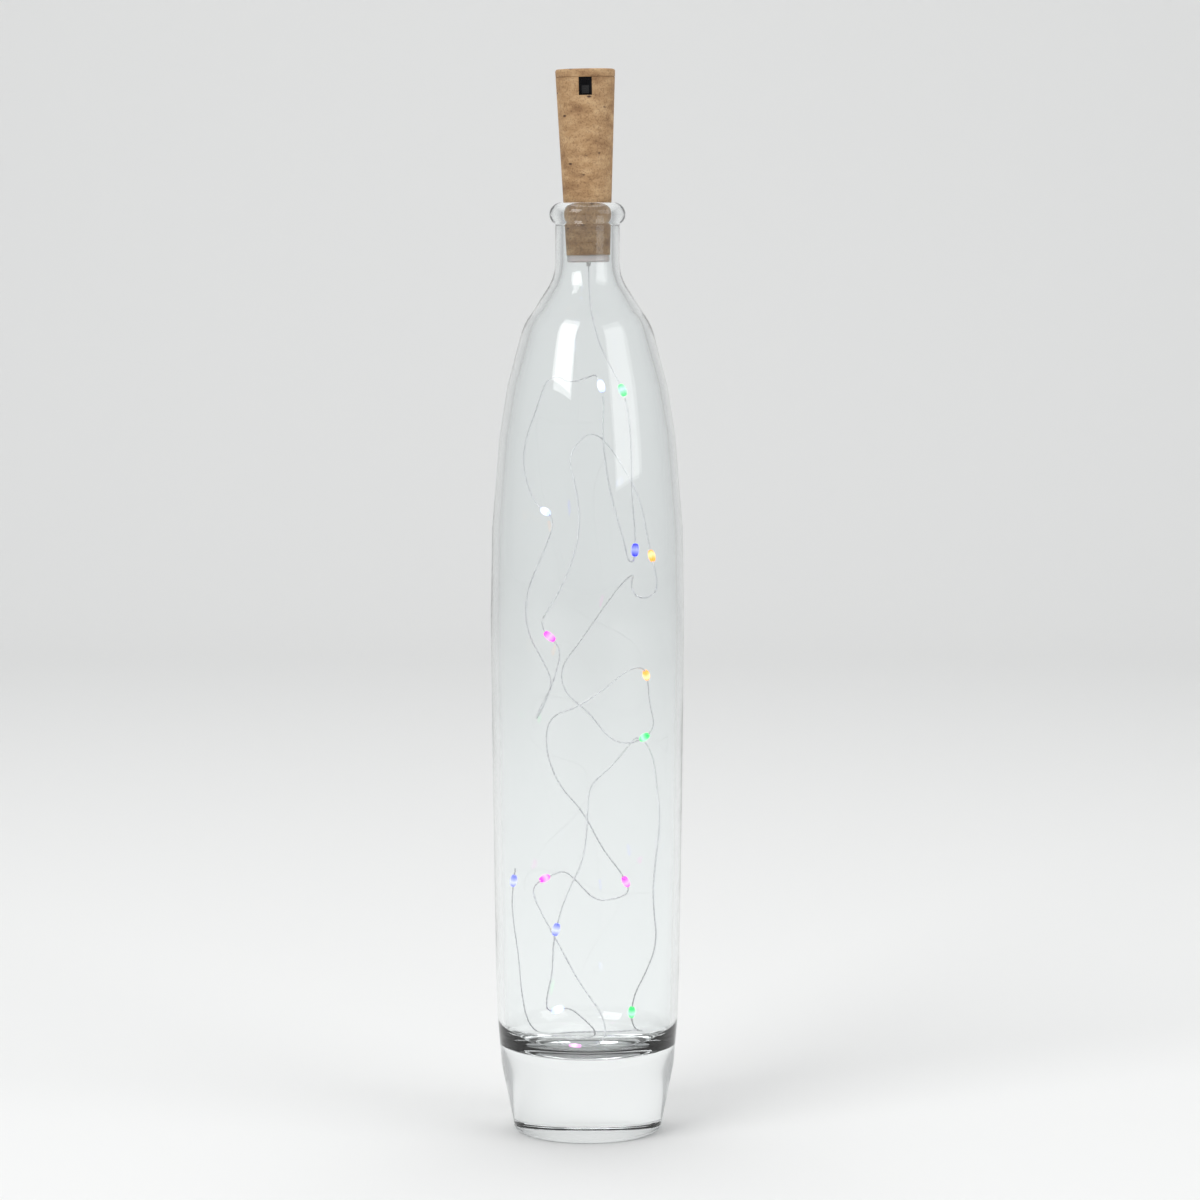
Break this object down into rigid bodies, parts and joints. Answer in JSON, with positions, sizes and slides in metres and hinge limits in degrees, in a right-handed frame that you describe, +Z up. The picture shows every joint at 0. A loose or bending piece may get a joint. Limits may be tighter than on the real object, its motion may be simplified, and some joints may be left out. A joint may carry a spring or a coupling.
{
  "type": "cork bottle light",
  "caption": "Cork-shaped battery light in the mouth of a clear heavy-based bottle, with a string of small coloured lamps on fine silver wire hanging inside.",
  "frame": {"origin": "middle of the bottle's foot, on the table", "axes": "+Z up along the bottle, -Y towards the side of the cork with the switch window"},
  "size_m": [0.0748, 0.0748, 0.4107],
  "materials": {
    "clear_glass": "clear blown flint glass, polished",
    "cork_effect_plastic": "moulded with a printed cork grain",
    "clear_plastic": "moulded, pale and translucent",
    "white_plastic": "moulded",
    "black_plastic": "moulded, fine texture",
    "board_laminate": "glass-epoxy laminate with solder mask",
    "chip_ceramic": "fired ceramic chip",
    "nickel_steel": "nickel plated strip",
    "cell_steel": "nickel plated can",
    "silver_wire": "enamelled silver-coloured wire, twisted pair",
    "lamp_green": "clear epoxy drop, lit from inside",
    "lamp_blue": "clear epoxy drop, lit from inside",
    "lamp_white": "clear epoxy drop, lit from inside",
    "lamp_magenta": "clear epoxy drop, lit from inside",
    "lamp_amber": "clear epoxy drop, lit from inside",
    "lamp_pink": "clear epoxy drop, lit from inside",
    "lamp_blue_white": "clear epoxy drop, lit from inside"
  },
  "bodies": {
    "bottle": {"bottle": "clear_glass", "light_string": "silver_wire", "lamp_01": "lamp_green", "lamp_02": "lamp_blue", "lamp_03": "lamp_white", "lamp_04": "lamp_white", "lamp_05": "lamp_magenta", "lamp_06": "lamp_amber", "lamp_07": "lamp_green", "lamp_08": "lamp_amber", "lamp_09": "lamp_magenta", "lamp_10": "lamp_magenta", "lamp_11": "lamp_pink", "lamp_12": "lamp_white", "lamp_13": "lamp_blue_white", "lamp_14": "lamp_green", "lamp_15": "lamp_blue_white"},
    "cork": {"cork_body": "cork_effect_plastic", "cork_end_cap": "clear_plastic", "wire_gland": "white_plastic", "contact_board": "board_laminate", "front_leaf_contact": "nickel_steel", "back_leaf_contact": "nickel_steel", "lead_wires": "silver_wire"},
    "battery_tray": {"battery_tray": "black_plastic", "cork_top_cap": "cork_effect_plastic", "button_cell_lower": "cell_steel", "button_cell_middle": "cell_steel", "button_cell_upper": "cell_steel", "positive_contact": "nickel_steel", "negative_contact": "nickel_steel", "switch_strip": "nickel_steel", "switch_housing": "nickel_steel", "switch_pins": "nickel_steel", "circuit_board": "board_laminate", "resistor": "chip_ceramic"},
    "switch_knob": {"switch_knob": "black_plastic"}
  },
  "joints": [
    {"name": "cork_lift", "type": "slide", "parent": "bottle", "child": "cork", "axis": [-0.0175, 0, 0.9998], "range_m": [0, 0.026], "deforming": ["light_string"]},
    {"name": "tray_slide", "type": "slide", "parent": "cork", "child": "battery_tray", "axis": [-0.0175, 0, 0.9998], "range_m": [0, 0.033]},
    {"name": "switch_slide", "type": "slide", "parent": "battery_tray", "child": "switch_knob", "axis": [-0.0175, 0, 0.9998], "range_m": [0, 0.002]}
  ]
}
